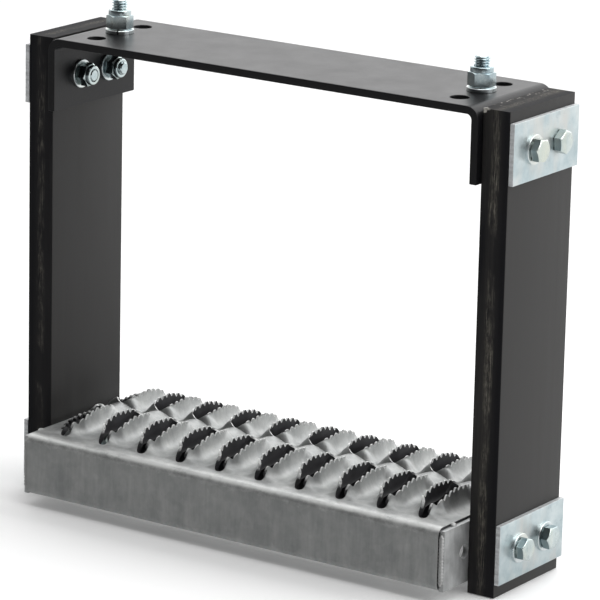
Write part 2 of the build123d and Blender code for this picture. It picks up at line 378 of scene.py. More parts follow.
def strap_edge():
    """The belting's cut edges: near black, with a narrow broken line of tan fabric plies."""
    s = Surface("strap_cut_edge")
    rest = s.rest_place()
    x, _, z = s.parts(rest)
    # Depth through the strap, 0 at the inner face and 1 at the outer one.
    depth = s.ramp(s.math("ABSOLUTE", x), span_low.x, span_high.x)
    wobble = s.noise(60, 4, 0.6, s.scaled(rest, (1, 1, 0.35)))
    wandering = s.math("ADD", depth, s.ramp(wobble, 0.2, 0.8, -0.07, 0.07))
    plies = s.math("ABSOLUTE", s.math("SUBTRACT", wandering, 0.5))
    middle = s.ramp(plies, 0.20, 0.07)
    patches = s.ramp(s.noise(26, 4, 0.7, s.scaled(rest, (1, 1, 0.5))), 0.40, 0.60)
    threads = s.ramp(s.noise(460, 6, 0.75, s.scaled(rest, (5, 1, 0.25))), 0.47, 0.66)
    ply_share = s.product(middle, threads, patches)
    ply_tone = s.noise(200, 3, 0.6, rest)
    ply_color = s.colour(ply_tone, [(0.3, (0.10, 0.09, 0.07)), (0.75, (0.31, 0.29, 0.24))])
    # Rubbed paler towards the inner face, more on the right strap than on the left.
    rubbed = s.ramp(s.noise(90, 5, 0.7, s.scaled(rest, (1, 1, 0.06))), 0.35, 0.65)
    smear = s.product(s.ramp(depth, 0.85, 0.55), s.ramp(x, -10 * MM, 10 * MM, 0.4, 1.0), rubbed)
    side = s.mix(smear, (0.006, 0.006, 0.008), (0.030, 0.028, 0.026))
    # Chalky scuffs along the right strap's top, beside the bracket.
    chalk = s.product(s.ramp(s.cells(420, where=rest), 0.36, 0.20),
                      s.ramp(s.noise(90, 4, 0.7, rest), 0.47, 0.58))
    beside = s.product(s.ramp(depth, 0.32, 0.06), s.ramp(z, -4 * MM, -1 * MM))
    right_only = s.product(beside, s.ramp(x, -10 * MM, 10 * MM))
    # A pale chip at the right strap's front inner corner.
    away = s.vector("DISTANCE", rest, (span_low.x, span_low.y, 0))
    ragged = s.ramp(s.noise(500, 3, 0.6, rest), 0.3, 0.7, -2 * MM, 2 * MM)
    chip = s.ramp(s.math("ADD", away, ragged), 3.6 * MM, 2 * MM)
    color = s.mix(ply_share, side, ply_color)
    color = s.mix(s.product(chalk, right_only), color, (0.45, 0.43, 0.40))
    color = s.mix(chip, color, (0.50, 0.48, 0.44))
    grain = s.math("ADD", s.noise(1100, 3, 0.6, rest), ply_share)
    return s.set(color=color, roughness=0.75, normal=s.bump(grain, 0.00012, 0.5), specular=0.22)


def zinc(name, low, high, tint, roughness):
    """Zinc plating: cloudy, with faint blue and straw iridescence and fine rolling marks."""
    s = Surface(name)
    clouds = s.noise(70, 6, 0.65)
    straw = s.noise(35, 3, 0.6, s.stretched((1.0, 1.7, 0.8)))
    base = s.mix(s.ramp(clouds, 0.32, 0.68), low, high)
    color = s.mix(s.ramp(straw, 0.45, 0.75, 0.0, 0.7), base, tint)
    stains = s.ramp(s.noise(160, 5, 0.7), 0.60, 0.72, 0.0, 0.35)
    color = s.mix(stains, color, tuple(0.55 * value for value in low))
    marks = s.noise(2200, 3, 0.6, s.stretched((1, 0.15, 1)))
    rough = s.ramp(s.noise(180, 4), 0.3, 0.7, roughness * 0.8, roughness * 1.25)
    return s.set(color=color, metallic=1.0, roughness=rough, normal=s.bump(marks, 0.00003, 0.5))


def sheared():
    """A plate's sheared edge: bright, with the shear's fine score marks."""
    s = Surface("sheared_edge")
    marks = s.noise(500, 4, 0.6, s.stretched((0.2, 1, 1)))
    color = s.mix(s.ramp(marks, 0.3, 0.7), (0.42, 0.43, 0.44), (0.72, 0.74, 0.75))
    return s.set(color=color, metallic=0.4, roughness=0.55, normal=s.bump(marks, 0.00005, 0.6))


def galvanised(name, bright, dark, worn=None):
    """Hot-dip galvanising: soft mottle and runs down the sides. worn is the long bends' rubbed colour."""
    s = Surface(name)
    _, y, z = s.parts(s.place)
    mottle = s.noise(60, 6, 0.65)
    spangle = s.parts(s.cells(230, "Color"))[0]
    runs = s.noise(150, 5, 0.7, s.stretched((1, 1, 0.12)))
    tone = s.math("ADD", s.ramp(mottle, 0.3, 0.7, 0.0, 0.50), s.ramp(spangle, 0, 1, 0.0, 0.12))
    tone = s.math("ADD", tone, s.ramp(runs, 0.3, 0.7, 0.0, 0.40))
    color = s.mix(s.ramp(tone, 0.2, 0.95), dark, bright)
    if worn:
        ragged = s.ramp(s.noise(130, 6, 0.75, s.stretched((1, 1.5, 1.5))), 0.25, 0.75, -3 * MM, 3 * MM)
        from_front = s.math("ADD", s.math("SUBTRACT", s.math("ABSOLUTE", y), plank_high.y), ragged)
        below_top = s.math("ADD", s.math("SUBTRACT", z, TOP), ragged)
        near_front = s.ramp(from_front, -7.5 * MM, -2.5 * MM)
        near_top = s.ramp(below_top, -5 * MM, -1.5 * MM)
        rubbed = s.product(near_front, near_top, s.ramp(mottle, 0.30, 0.55, 0.55, 1.0))
        color = s.mix(rubbed, color, worn)
    rough = s.ramp(mottle, 0.3, 0.7, 0.46, 0.60)
    lumps = s.bump(s.noise(90, 3), 0.0004, 0.35)
    return s.set(color=color, metallic=0.85, roughness=rough,
                 normal=s.bump(s.noise(1500, 4, 0.6), 0.00005, 0.5, lumps))


def painted_shade_zinc(name, bright, dark, highlight_tips=None):
    """Zinc painted dark as shade, and rough. A teeth colour paints a highlight on the teeth's upper edges.
    """
    s = Surface(name)
    tone = s.noise(90, 5, 0.6)
    color = s.mix(s.ramp(tone, 0.3, 0.7), dark, bright)
    # Painted highlight: the rim high up on the teeth takes the given bright colour.
    if highlight_tips:
        ragged = s.ramp(s.noise(400, 3), 0.3, 0.7, -1.2 * MM, 1.2 * MM)
        height = s.math("ADD", s.parts(s.place)["Z"], ragged)
        worn = s.ramp(height, TOP + 4.5 * MM, TOP + 8.0 * MM)
        color = s.mix(worn, color, highlight_tips)
    return s.set(color=color, metallic=0.35, roughness=s.ramp(tone, 0.3, 0.7, 0.5, 0.7),
                 normal=s.bump(s.noise(1300, 3), 0.00004, 0.5))


def nylon():
    """Milky nylon, slightly scuffed."""
    s = Surface("insert_nylon")
    tone = s.noise(600, 4)
    color = s.mix(s.ramp(tone, 0.3, 0.7), (0.62, 0.66, 0.70), (0.82, 0.85, 0.88))
    return s.set(color=color, roughness=0.45, normal=s.bump(tone, 0.00004, 0.4))


black = powder_coat()
rubber = strap_rubber()
rubber_edge = strap_edge()
plate_zinc = zinc("plate_zinc", (0.44, 0.54, 0.57), (0.66, 0.73, 0.74), (0.68, 0.66, 0.62), 0.36)
bolt_zinc = zinc("bolt_zinc", (0.42, 0.52, 0.54), (0.70, 0.77, 0.76), (0.70, 0.72, 0.60), 0.22)
washer_zinc = zinc("washer_zinc", (0.60, 0.67, 0.69), (0.82, 0.86, 0.86), (0.80, 0.80, 0.72), 0.30)
# A darker copy of the bolt zinc, for faces around a fastener's axis: painted shade.
flank_zinc_painted_shade = zinc("flank_zinc_painted_shade", (0.20, 0.26, 0.29), (0.38, 0.45, 0.46), (0.36, 0.36, 0.31), 0.20)
upright_zinc = zinc("upright_zinc", (0.34, 0.44, 0.48), (0.70, 0.77, 0.77), (0.62, 0.62, 0.50), 0.18)
sheared_edge = sheared()
tread_zinc = galvanised("tread_galvanised", (0.61, 0.62, 0.61), (0.36, 0.37, 0.37), (0.76, 0.77, 0.76))
# Near black for the sheet's inner faces and underside: painted shade.
underside_painted_shade = painted_shade_zinc("tread_underside_painted_shade", (0.075, 0.075, 0.08), (0.035, 0.035, 0.038))
# The sheet's cut edges: dark as painted shade, with a painted highlight high on the teeth.
cut_edge_painted_shade_and_highlight = painted_shade_zinc("tread_cut_edges_painted_shade_and_highlight", (0.055, 0.055, 0.06), (0.03, 0.03, 0.03), (0.86, 0.87, 0.86))
end_zinc = galvanised("end_plate_galvanised", (0.72, 0.73, 0.73), (0.44, 0.45, 0.45))
weld_zinc = galvanised("weld_galvanised", (0.72, 0.73, 0.72), (0.42, 0.42, 0.42))
insert_nylon = nylon()


# ---- Bracket ----
BRACKET_SHEET = 4.8 * MM
BRACKET_BEND = 8.0 * MM  # outer radius
BRACKET_EDGE = 0.6 * MM  # rounding of its edges
MOUNT_HOLE_X = 129.0 * MM
MOUNT_HOLE_Y = 23.2 * MM
MOUNT_HOLE_RADIUS = 5.55 * MM
BOLT_HOLE_RADIUS = 4.35 * MM
TURN_TO_X = Matrix.Rotation(math.radians(90), 4, "Y")


def bracket_outline():
    """The folded section seen from the front, outer bend radii included."""
    end, bottom = bracket_high.x, bracket_low.z
    corner = (end - BRACKET_BEND, bracket_high.z - BRACKET_BEND)
    right = [(end, bottom)] + arc(corner, BRACKET_BEND, 0, 90, 8)
    under_right = arc(corner, BRACKET_BEND - BRACKET_SHEET, 90, 0, 8) + [(end - BRACKET_SHEET, bottom)]
    left = [(-x, z) for x, z in reversed(right)]
    under_left = [(-x, z) for x, z in reversed(under_right)]
    return right + left + under_left + under_right


def mounting_bracket():
    piece = piece_from("bracket_body", extruded(bracket_outline(), bracket_low.y, bracket_high.y), black)
    holes = []
    for x in (-MOUNT_HOLE_X, MOUNT_HOLE_X):
        for y in (-MOUNT_HOLE_Y, 0, MOUNT_HOLE_Y):
            hole = drum(MOUNT_HOLE_RADIUS, -2 * BRACKET_SHEET, BRACKET_SHEET)
            holes.append(placed(hole, Matrix.Translation((x, y, 0))))
    for side_name, side in SIDES.items():
        holes += bolt_holes(side_name, "upper", side * bracket_high.x, 2 * BRACKET_SHEET)
    cut(piece, holes)
    soften(piece, BRACKET_EDGE)
    stands_for(piece, "bracket", "mounting_bracket")


def bolt_places(side_name, level):
    """The Y of each strap bolt, front first, and their Z, from the washers under their nuts."""
    low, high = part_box(f"{side_name}_{level}_nut_washers")
    radius = (high.z - low.z) / 2
    return (low.y + radius, high.y - radius), (low.z + high.z) / 2


def bolt_holes(side_name, level, x, reach, spare_rows=()):
    """Cutters for the strap bolts' holes, and for spare ones in the same row."""
    rows, z = bolt_places(side_name, level)
    hole = drum(BOLT_HOLE_RADIUS, -reach, reach)
    return [placed(hole, Matrix.Translation((x, y, z)) @ TURN_TO_X) for y in (*rows, *spare_rows)]


# ---- Straps, each of three pieces that meet end to end near the frame's joints ----
STRAP_EDGE = 0.7 * MM  # radius of its section's corners
STRAP_STEP = 3.0 * MM  # height of a ring of its mesh
NECK_SEAM = 2 * MM  # how far below the neck the upper piece meets the middle one


def strap_section(side):
    """The strap's section: a flat strip with slightly rounded corners, as (x, y) points."""
    low_x, high_x = span_low.x, span_high.x
    half = span_high.y
    corners = ((high_x, half, 0), (low_x, half, 90), (low_x, -half, 180), (high_x, -half, 270))
    section = []
    for x, y, start in corners:
        centre = (x - math.copysign(STRAP_EDGE, x - (low_x + high_x) / 2), y - math.copysign(STRAP_EDGE, y))
        section += arc(centre, STRAP_EDGE, start, start + 90, 4)
    return [(side * x, y) for x, y in section]


def strap_length(name, side, high_z, low_z):
    """A stretch of strap with enough rings to bend, that remembers where it was at rest."""
    section = strap_section(side)
    steps = max(2, round((high_z - low_z) / STRAP_STEP))
    rings = [high_z + (low_z - high_z) * step / steps for step in range(steps + 1)]
    points = [Vector((x, y, z)) for z in rings for x, y in section]
    piece = piece_from(name, (points, tube_faces(len(section), steps)), rubber)
    finish_edges(piece, rubber_edge)
    remember_rest(piece)
    return piece


def remember_rest(piece):
    """Stores each corner's place at rest, which the material reads."""
    mesh = piece.data
    place = mesh.attributes.new("rest_place", "FLOAT_VECTOR", "POINT")
    place.data.foreach_set("vector", [value for vertex in mesh.vertices for value in vertex.co])


def straps():
    sway = joints["left_sway"]["pos_m"][2]
    level = joints["left_level"]["pos_m"][2]
    first_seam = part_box("left_strap_neck")[0].z - NECK_SEAM
    second_seam = (sway + level) / 2
    for side_name, side in SIDES.items():
        top = strap_length(f"{side_name}_strap_upper", side, strap_top_z, first_seam)
        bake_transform(top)
        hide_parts(f"{side_name}_strap_top", f"{side_name}_strap_neck")
        middle = strap_length(f"{side_name}_strap_middle", side, first_seam, second_seam)
        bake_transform(middle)
        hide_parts(f"{side_name}_strap_span")
        foot = strap_length(f"{side_name}_strap_lower", side, second_seam, strap_foot_z)
        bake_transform(foot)
        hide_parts(f"{side_name}_strap_foot")


# ---- Tread: one pressed sheet with two rows of raised, toothed openings ----
SHEET = 2.7 * MM
BEND = 4.5 * MM  # outer radius
RETURN = 22.0 * MM  # width of the lip folded under the front and the back
COLUMNS = 10
PITCH = 28.9 * MM  # from column to column
OPENING = 45.1 * MM  # length of an opening
ROW_OFFSET = 29.3 * MM  # from the tread's middle to an opening's
CROWN = 13.3 * MM  # highest place of a raised edge
SLOT_END = 3.6 * MM  # radius of the opening's outer end, on the flat
NOSE_HALF = 3.7 * MM  # half-width where the edges first rise
BODY_HALF = 7.3 * MM  # half-width along the main stretch, outside of the edges
TAIL_REACH = 8.5 * MM  # length of the rounded inner end
TROUGH_RISE = 1.6 * MM  # bottom of the trough between two openings
BRIDGE_RISE = 3.6 * MM  # bottom of the trough where it crosses between the rows
NOTCH_HEIGHT = 7.8 * MM  # smooth notch in the inner end of each raised edge
BRIDGE_HEIGHT = 7.2 * MM  # crest that joins two raised edges across the middle
TEETH = 8
TOOTH_DEPTH = 2.1 * MM
TOOTH_STEPS = 8  # mesh steps to a tooth
END_EDGE_SHARE = 0.52  # height of the edges nearest the left end, as a share of the others
EDGE_SHARE = 0.42  # how far the pressing thins the sheet at a toothed edge
TOOTH_START = 0.13  # share of the opening before the first tooth
NOSE_SHARE = 0.14  # share over which the opening widens and its edges turn upright
TAIL_SHARE = 0.22  # share over which they lean again at the inner end
FADE_SHARE = 0.20  # share over which the teeth fade there and the low edges catch up
TREAD_SHARP = 40  # as SHARP_DEGREES, for the curved sheet
ROWS = 9  # mesh rows between an opening's edge and the middle of the trough
SQUARENESS = 2.5  # how upright the edges stand and how flat the trough between them is
SPARE_HOLE_Y = 40.5 * MM
END_EDGE = 0.45 * MM  # rounding of the end plates' edges

# Height of the raised edge, each a share of the way along the opening from its outer end.
EDGE_RISE = ((0.0, 0.0), (0.17, 8.4 * MM), (0.36, 11.4 * MM),
             (0.55, CROWN), (0.80, 12.6 * MM), (1.0, 11.0 * MM))


def opening_half_width(share):
    """Half the opening's width, outside of its raised edges, a share of the way from its outer end."""
    along = share * OPENING
    width = NOSE_HALF + (BODY_HALF - NOSE_HALF) * smoothstep((share - TOOTH_START) / NOSE_SHARE)
    if along < SLOT_END:
        width = min(width, math.sqrt(max(0, SLOT_END ** 2 - (SLOT_END - along) ** 2)) * NOSE_HALF / SLOT_END)
    left = OPENING - along
    if left < TAIL_REACH:
        width *= math.sqrt(max(0, 1 - (1 - left / TAIL_REACH) ** 2))
    return width


def edge_height(share):
    """Height of the raised edge before its teeth are cut, with the notch at its inner end."""
    crest = between(EDGE_RISE, share)
    if share <= 0.5:
        return crest
    turn = math.acos(max(0, 1 - (1 - share) * OPENING / TAIL_REACH))
    return NOTCH_HEIGHT + (crest - NOTCH_HEIGHT) * smoothstep(turn / math.radians(55))


def trough_height(share):
    """Height of the trough's bottom beside an opening."""
    return TROUGH_RISE + (BRIDGE_RISE - TROUGH_RISE) * smoothstep((share - 0.6) / 0.4)


def tooth_drop(share):
    """How far the toothed edge drops below its crown."""
    if share < TOOTH_START:
        return 0.0
    phase = (share - TOOTH_START) / (1 - TOOTH_START) * TEETH % 1
    drop = 0.5 - 0.5 * math.cos(2 * math.pi * phase)
    fade = smoothstep((1 - share) / FADE_SHARE)
    return TOOTH_DEPTH * drop ** 1.5 * fade


def stations():
    """Places along the top sheet from its front bend to its middle, as (y, share of the opening).

    They lie closer together round the opening's two ends.
    """
    outer_y = -(ROW_OFFSET + OPENING / 2)
    front = plank_low.y + BEND
    result = [(front + (outer_y - front) * step / 3, None) for step in range(3)]
    shares = [SLOT_END / OPENING * (1 - math.cos(math.radians(angle))) for angle in range(0, 91, 10)]
    steps = TEETH * TOOTH_STEPS
    shares += [TOOTH_START + (1 - TOOTH_START) * step / steps for step in range(steps)]
    tail = 1 - TAIL_REACH / OPENING * 0.8
    turns = [math.radians(turn) for turn in range(78, -1, -6)]
    shares = [share for share in shares if share < tail]
    shares += [1 - TAIL_REACH / OPENING * (1 - math.cos(turn)) for turn in turns]
    result += [(outer_y + share * OPENING, share) for share in shares]
    inner_y = outer_y + OPENING
    result += [(inner_y * (1 - step / 3), None) for step in range(1, 4)]
    return result


def half_cell(share, y, reach, raised, lift):
    """Points from an opening's edge to the middle of the trough, as (distance from its centre, height).

    raised says whether the trough's bottom stands above the flat, and lift is this edge's height as a share
    of the others', away from its inner end.
    """
    inner_y = ROW_OFFSET - OPENING / 2
    if share is None:
        if abs(y) > inner_y + SAME_PLACE:
            return [(reach * row_place(row), 0.0) for row in range(ROWS + 1)]
        crest = BRIDGE_HEIGHT + (NOTCH_HEIGHT - BRIDGE_HEIGHT) * smoothstep(abs(y) / inner_y)
        width, uprightness, base, drop = 0.0, 0.0, BRIDGE_RISE if raised else 0.0, 0.0
    else:
        crest = edge_height(share) * (1 - (1 - lift) * smoothstep((1 - share) / FADE_SHARE))
        width = opening_half_width(share)
        uprightness = smoothstep(share / NOSE_SHARE) * smoothstep((1 - share) / TAIL_SHARE)
        base = min(trough_height(share) * smoothstep(share / 0.5), crest) if raised else 0.0
        drop = min(tooth_drop(share), crest * 0.5)
    result = []
    for row in range(ROWS + 1):
        place = row_place(row)
        angle = math.pi / 2 * row / ROWS
        upright = 1 - math.sin(angle) ** (2 / SQUARENESS)
        wave = 0.5 * (1 + math.cos(math.pi * place))
        height = base + (crest - base) * (uprightness * upright + (1 - uprightness) * wave)
        if row == 0:
            height -= drop
        result.append((width + (reach - width) * place, height))
    return result


def row_place(row):
    """Share of the way from the opening's edge to the middle of the trough, for each mesh row."""
    return 1 - math.cos(math.pi / 2 * row / ROWS) ** (2 / SQUARENESS)


def fold_points():
    """The sheet's section beyond the flat top, from the front bend down to the return's edge, as (y, z)."""
    front, top, bottom = plank_low.y, TOP, plank_low.z
    upper = arc((front + BEND, top - BEND), BEND, 90, 180, 6)[1:]
    wall = [(front, top - BEND + (bottom + 2 * BEND - top) * step / 5) for step in range(1, 5)]
    lower = arc((front + BEND, bottom + BEND), BEND, 180, 270, 6)
    return upper + wall + lower + [(front + RETURN, bottom)]


def tread_sheet():
    """The outer surface of the whole sheet as one grid, and the gaps that are its openings."""
    edge = plank_high.x
    spread = (COLUMNS - 1) / 2 * PITCH
    front_half = stations()
    whole = front_half + [(-y, share) for y, share in reversed(front_half[:-1])]
    end_reach = edge - spread
    points = []
    for y, share in whole:
        line = []
        for column in range(COLUMNS):
            centre = (column - (COLUMNS - 1) / 2) * PITCH
            for turn in (-1, 1):
                outermost = (column == 0 and turn < 0) or (column == COLUMNS - 1 and turn > 0)
                lift = END_EDGE_SHARE if column == 0 and turn < 0 else 1.0
                cell = half_cell(share, y, end_reach if outermost else PITCH / 2, not outermost, lift)
                row = [Vector((centre + turn * x, y, TOP + z)) for x, z in cell]
                line += reversed(row) if turn < 0 else row
        points.append(line)
    folds = fold_points()
    xs = [point.x for point in points[0]]
    front_folds = [[Vector((x, y, z)) for x in xs] for y, z in reversed(folds)]
    back_folds = [[Vector((x, -y, z)) for x in xs] for y, z in folds]
    lines = front_folds + points + back_folds
    shares = [None] * len(folds) + [share for y, share in whole] + [None] * len(folds)
    width = len(xs)
    flat = [point for line in lines for point in line]
    faces = []
    for row in range(len(lines) - 1):
        open_here = shares[row] is not None and shares[row + 1] is not None
        for place in range(width - 1):
            in_opening = place % (2 * (ROWS + 1)) == ROWS
            if in_opening and open_here:
                continue
            corner = row * width + place
            faces.append((corner, corner + 1, corner + 1 + width, corner + width))
    return flat, faces


def tread_plank():
    piece = piece_from("tread_sheet", tread_sheet(), tread_zinc, TREAD_SHARP)
    # Painted shade for the inner shell, and painted shade and highlight for the cut rim.
    piece.data.materials.append(underside_painted_shade)
    piece.data.materials.append(cut_edge_painted_shade_and_highlight)
    thin = piece.vertex_groups.new(name="thickness")
    for vertex in piece.data.vertices:
        raised = smoothstep((vertex.co.z - TOP - TROUGH_RISE) / (CROWN - TROUGH_RISE - TOOTH_DEPTH))
        thin.add([vertex.index], 1 - (1 - EDGE_SHARE) * raised, "REPLACE")
    thicken = piece.modifiers.new("sheet", "SOLIDIFY")
    thicken.thickness = SHEET
    thicken.offset = -1
    thicken.vertex_group = thin.name
    thicken.material_offset = 1
    thicken.material_offset_rim = 2
    settle(piece, TREAD_SHARP)
    stands_for(piece, "tread", "tread_plank")


def ends_of_tread():
    """The end plates with their rows of holes, and the welds that hold them."""
    for side_name, side in SIDES.items():
        low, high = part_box(f"{side_name}_end_plate")
        piece = piece_from(f"{side_name}_end_sheet", box_shape(low, high), end_zinc)
        spare_rows = (-SPARE_HOLE_Y, SPARE_HOLE_Y)
        cut(piece, bolt_holes(side_name, "lower", (low.x + high.x) / 2, PLATE_CUT, spare_rows))
        soften(piece, END_EDGE)
        stands_for(piece, "tread", f"{side_name}_end_plate")
        welds(side_name, side, low, high)


BEAD_RADIUS = 1.55 * MM
BEAD_RIPPLES = 16
BEAD_FOOT = 3 * MM  # from the end plate's lower edge
BEAD_HEAD = 2 * MM  # from its upper edge
BEAD_PROUD = 1.3 * MM  # how far the bead's middle lies beyond the tread's end
TACK_RADIUS = 2.1 * MM
TACK_HEIGHT = 1.5 * MM  # above and below its middle
TACK_PROUD = 0.4 * MM  # beyond the tread's end, and above the end plate
TACK_SETBACK = 13 * MM  # from the end plate's corner
WELD_SHARP = 60  # as SHARP_DEGREES, for the rippled welds


def weld_bead(length):
    """A bead with rounded ends, and ripples that lean as they go round it."""
    rings = 60

    def profile(angle):
        rows = [(0, 0)]
        for ring in range(1, rings):
            share = ring / rings
            ripple = 1 + 0.12 * math.sin(share * BEAD_RIPPLES * 2 * math.pi + 1.2 * math.cos(angle))
            body = min(1, math.sqrt(min(share, 1 - share) * 14))
            rows.append((BEAD_RADIUS * body * ripple, share * length))
        return rows + [(0, length)]
    return spun(profile, 20)


def weld_tack(lean):
    """A flattened, slightly lumpy blob."""
    turns = [math.pi * step / 10 for step in range(11)]

    def profile(angle):
        lumps = 1 + 0.10 * math.sin(3 * angle + lean)
        return [(TACK_RADIUS * lumps * math.sin(turn), -TACK_HEIGHT * math.cos(turn)) for turn in turns]
    return spun(profile, 20)


def welds(side_name, side, low, high):
    """A bead up each corner, and a tack behind each on the top edge."""
    shapes = []
    end = plank_high.x
    for turn in (-1, 1):
        bead = weld_bead(high.z - low.z - BEAD_FOOT - BEAD_HEAD)
        bead_place = (side * (end + BEAD_PROUD), turn * (high.y + 0.1 * MM), low.z + BEAD_FOOT)
        tack_place = (side * (end + TACK_PROUD), turn * (high.y - TACK_SETBACK), high.z + TACK_PROUD)
        shapes.append(placed(bead, Matrix.Translation(bead_place)))
        shapes.append(placed(weld_tack(turn), Matrix.Translation(tack_place)))
    piece = piece_from(f"{side_name}_weld_beads", joined(shapes), weld_zinc, WELD_SHARP)
    stands_for(piece, "tread", f"{side_name}_end_welds")


# ---- Fasteners, upright on Z with the bearing face at zero ----
class Hardware:
    """One size of hex hardware, given in millimetres and kept in metres."""

    def __init__(self, **sizes):
        for name, size in sizes.items():
            setattr(self, name, size * MM)
        self.thread_depth = 0.61 * self.pitch


STRAP_SIZE = Hardware(radius=3.97, pitch=1.411, flats=12.7, head=5.4, hexagon=6.4, nut=8.7,
                      collar=6.0, insert=5.0, insert_height=2.2)
MOUNT_SIZE = Hardware(radius=4.76, pitch=1.588, flats=14.3, head=6.0, hexagon=9.0, nut=12.1,
                      collar=6.8, insert=5.9, insert_height=2.9)
STRAP_BOLT_LENGTH = 38.1 * MM
STRAP_THREAD = 12 * MM
STRAP_WASHER_BORE = 4.3 * MM  # radius
MOUNT_BOLT_LENGTH = 25.4 * MM
MOUNT_THREAD = 13 * MM
MOUNT_WASHER_BORE = 5.0 * MM  # radius
SPLIT = 1.0 * MM  # gap between a spring washer's ends
PLATE_CUT = 4 * MM  # how far the holes' cutters reach through a plate
PLATE_EDGE = 0.5 * MM  # rounding of the clamp plates' edges
ROUND_SHARE = 0.94  # a head's or nut's round face, as a share of its width over flats
NICK = 0.12 * MM  # small chamfer around a hexagon's edges
# How far the two bolts of a strap joint happen to be turned, front first, in degrees.
UPPER_CLOCKINGS = (8, 24)
LOWER_CLOCKINGS = (20, 2)
# Each upright bolt's x, and how far its nut and its washer's split are turned, in degrees.
UPRIGHTS = ((-MOUNT_HOLE_X, 5, -62), (MOUNT_HOLE_X, 2, 120))


def hex_reach(flats, angle):
    """Distance from a hexagon's middle to its outline, flats facing 0 degrees."""
    sector = math.radians(60)
    return flats / 2 / math.cos((angle + sector / 2) % sector - sector / 2)


def hex_head(size):
    """A bolt head, chamfered at its top, with a thin round bearing face below."""
    shoulder = size.flats / 2 * ROUND_SHARE
    slope = math.tan(math.radians(28))
    face = 0.35 * MM

    def profile(angle):
        reach = hex_reach(size.flats, angle)
        crest = size.head - max(0, reach - shoulder) * slope
        return [(0, 0), (shoulder, 0), (shoulder, face), (reach - NICK, face), (reach, face + 0.15 * MM),
                (reach, crest - NICK), (reach - 0.15 * MM, crest), (shoulder, size.head - 0.05 * MM),
                (shoulder - 0.5 * MM, size.head), (0, size.head)]
    return spun(profile, 72)


def thread(size, start, end):
    """A rod with a rolled thread between two heights, its tip chamfered."""
    step = size.pitch / 8
    count = math.ceil((end - start) / step)
    tip = size.radius - 0.9 * MM

    def profile(angle):
        rows = [(0, start)]
        for index in range(count + 1):
            z = min(start + index * step, end)
            wave = 0.5 + 0.5 * math.cos(2 * math.pi * (z / size.pitch) - angle)
            radius = size.radius - size.thread_depth * (1 - wave) ** 1.4
            rows.append((min(radius, tip + (end - z) * 1.1), z))
        return rows + [(0, end)]
    return spun(profile, 36)


def hex_bolt(size, length, threaded):
    """Head below zero, plain shank, then the thread."""
    head = placed(hex_head(size), Matrix.Rotation(math.pi, 4, "X"))
    shank = drum(size.radius - 0.07 * MM, 0, length - threaded, 36)
    return joined([head, shank, thread(size, length - threaded, length)])


def lock_nut(size):
    """A hex nut on a thin round face, whose round collar is rolled in over its insert."""
    shoulder = size.flats / 2 * ROUND_SHARE
    slope = math.tan(math.radians(30))
    bore = size.radius + 0.05 * MM
    lip = size.insert - 0.9 * MM
    rim = 0.9 * MM
    face = 0.5 * MM

    def profile(angle):
        reach = hex_reach(size.flats, angle)
        fall = max(0, reach - shoulder) * slope
        outer = [(bore, 0), (shoulder, 0), (shoulder, face), (reach - NICK, face),
                 (reach, face + 0.15 * MM), (reach, size.hexagon - fall),
                 (shoulder, size.hexagon), (size.collar + 0.15 * MM, size.hexagon + 0.1 * MM)]
        crown = arc((size.collar - rim, size.nut - rim), rim, 0, 90, 4)
        seat = size.nut - 0.35 * MM
        below = size.nut - size.insert_height
        return outer + crown + [(lip, size.nut - 0.1 * MM), (lip, seat), (size.insert, seat),
                                (size.insert, below), (bore, below)]
    return spun(profile, 72, closed=True)


def insert_ring(size):
    """The nylon ring, swollen a little where the thread has been driven through it."""
    bore = size.radius + 0.03 * MM
    top = size.nut - 0.42 * MM
    below = size.nut - size.insert_height + 0.05 * MM
    outer = size.insert - 0.05 * MM
    inner_top = [(outer - 1.0 * MM, top), (bore + 0.3 * MM, top + 0.2 * MM), (bore, top - 0.1 * MM)]
    return spun(lambda angle: [(bore, below), (outer, below), (outer, top)] + inner_top, 48, closed=True)


def washer(low_radius, high_radius, thickness):
    """A stamped ring, rounded on its top edges."""
    soft = 0.3 * MM
    ring = [(low_radius, 0), (high_radius, 0), (high_radius, thickness - soft),
            (high_radius - soft, thickness), (low_radius + soft, thickness), (low_radius, thickness - soft)]
    return spun(lambda angle: ring, 64, closed=True)


def split_washer(inner, outer, thickness, gap, split_angle):
    """A spring washer: square wire in one turn, its cut ends a little out of line."""
    steps = 60
    spread = gap / outer
    soft = 0.25 * MM
    section = [(inner, 0), (outer - soft, 0), (outer, soft), (outer, thickness - soft),
               (outer - soft, thickness), (inner, thickness)]
    points = []
    for step in range(steps + 1):
        share = step / steps
        angle = split_angle + spread / 2 + (2 * math.pi - spread) * share
        lift = 0.12 * MM * (share - 0.5)
        points += [Vector((r * math.cos(angle), r * math.sin(angle), z + lift)) for r, z in section]
    return points, tube_faces(len(section), steps)


def fitted(name, shapes, node, body, material, flank_shade=None):
    """A fastener group that stands for its CAD node; faces around an X axis may get painted shade."""
    piece = piece_from(name, joined(shapes), material)
    if flank_shade:
        finish_edges(piece, flank_shade)
    stands_for(piece, body, node)


